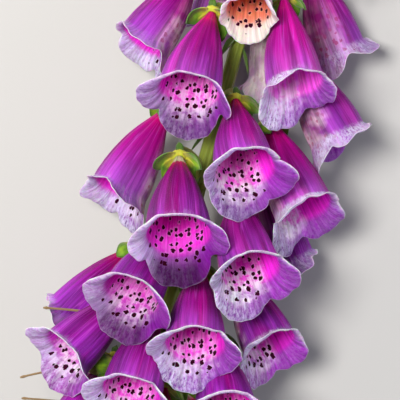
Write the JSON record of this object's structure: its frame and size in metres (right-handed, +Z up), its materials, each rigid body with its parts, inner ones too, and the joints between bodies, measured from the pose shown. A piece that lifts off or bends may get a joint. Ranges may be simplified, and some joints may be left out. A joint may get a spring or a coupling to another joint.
{
  "type": "foxglove flower spike",
  "caption": "Cut foxglove flower spike lying on its back: spotted magenta bells in green calyxes along one leaning stem, with buds at the tip and a bare cut stalk.",
  "frame": {"origin": "middle of the spike's footprint on the table", "axes": "+Y along the stem towards the flowering tip, +Z up from the table, out of the showy side"},
  "size_m": [0.104, 0.3816, 0.0816],
  "materials": {
    "corolla": "soft matt petal",
    "calyx": "matt leaf",
    "stem": "downy green stalk",
    "bud": "matt bud"
  },
  "bodies": {
    "root": {"stem": "stem", "corolla_01": "corolla", "corolla_02": "corolla", "corolla_03": "corolla", "corolla_04": "corolla", "corolla_05": "corolla", "corolla_06": "corolla", "corolla_07": "corolla", "corolla_08": "corolla", "corolla_09": "corolla", "corolla_10": "corolla", "corolla_11": "corolla", "corolla_12": "corolla", "corolla_13": "corolla", "corolla_14": "corolla", "corolla_15": "corolla", "corolla_16": "corolla", "corolla_17": "corolla", "corolla_18": "corolla", "corolla_19": "corolla", "corolla_20": "corolla", "corolla_21": "corolla", "corolla_22": "corolla", "corolla_23": "corolla", "corolla_24": "corolla", "corolla_25": "corolla", "corolla_26": "corolla", "corolla_27": "corolla", "calyx_01": "calyx", "calyx_02": "calyx", "calyx_03": "calyx", "calyx_04": "calyx", "calyx_05": "calyx", "calyx_06": "calyx", "calyx_07": "calyx", "calyx_08": "calyx", "calyx_09": "calyx", "calyx_10": "calyx", "calyx_11": "calyx", "calyx_12": "calyx", "calyx_13": "calyx", "calyx_14": "calyx", "calyx_15": "calyx", "calyx_16": "calyx", "calyx_17": "calyx", "calyx_18": "calyx", "calyx_19": "calyx", "calyx_20": "calyx", "calyx_21": "calyx", "calyx_22": "calyx", "calyx_23": "calyx", "calyx_24": "calyx", "calyx_25": "calyx", "calyx_26": "calyx", "calyx_27": "calyx", "bud_01": "bud", "bud_02": "bud", "bud_03": "bud", "bud_04": "bud", "bud_05": "bud"}
  },
  "joints": []
}
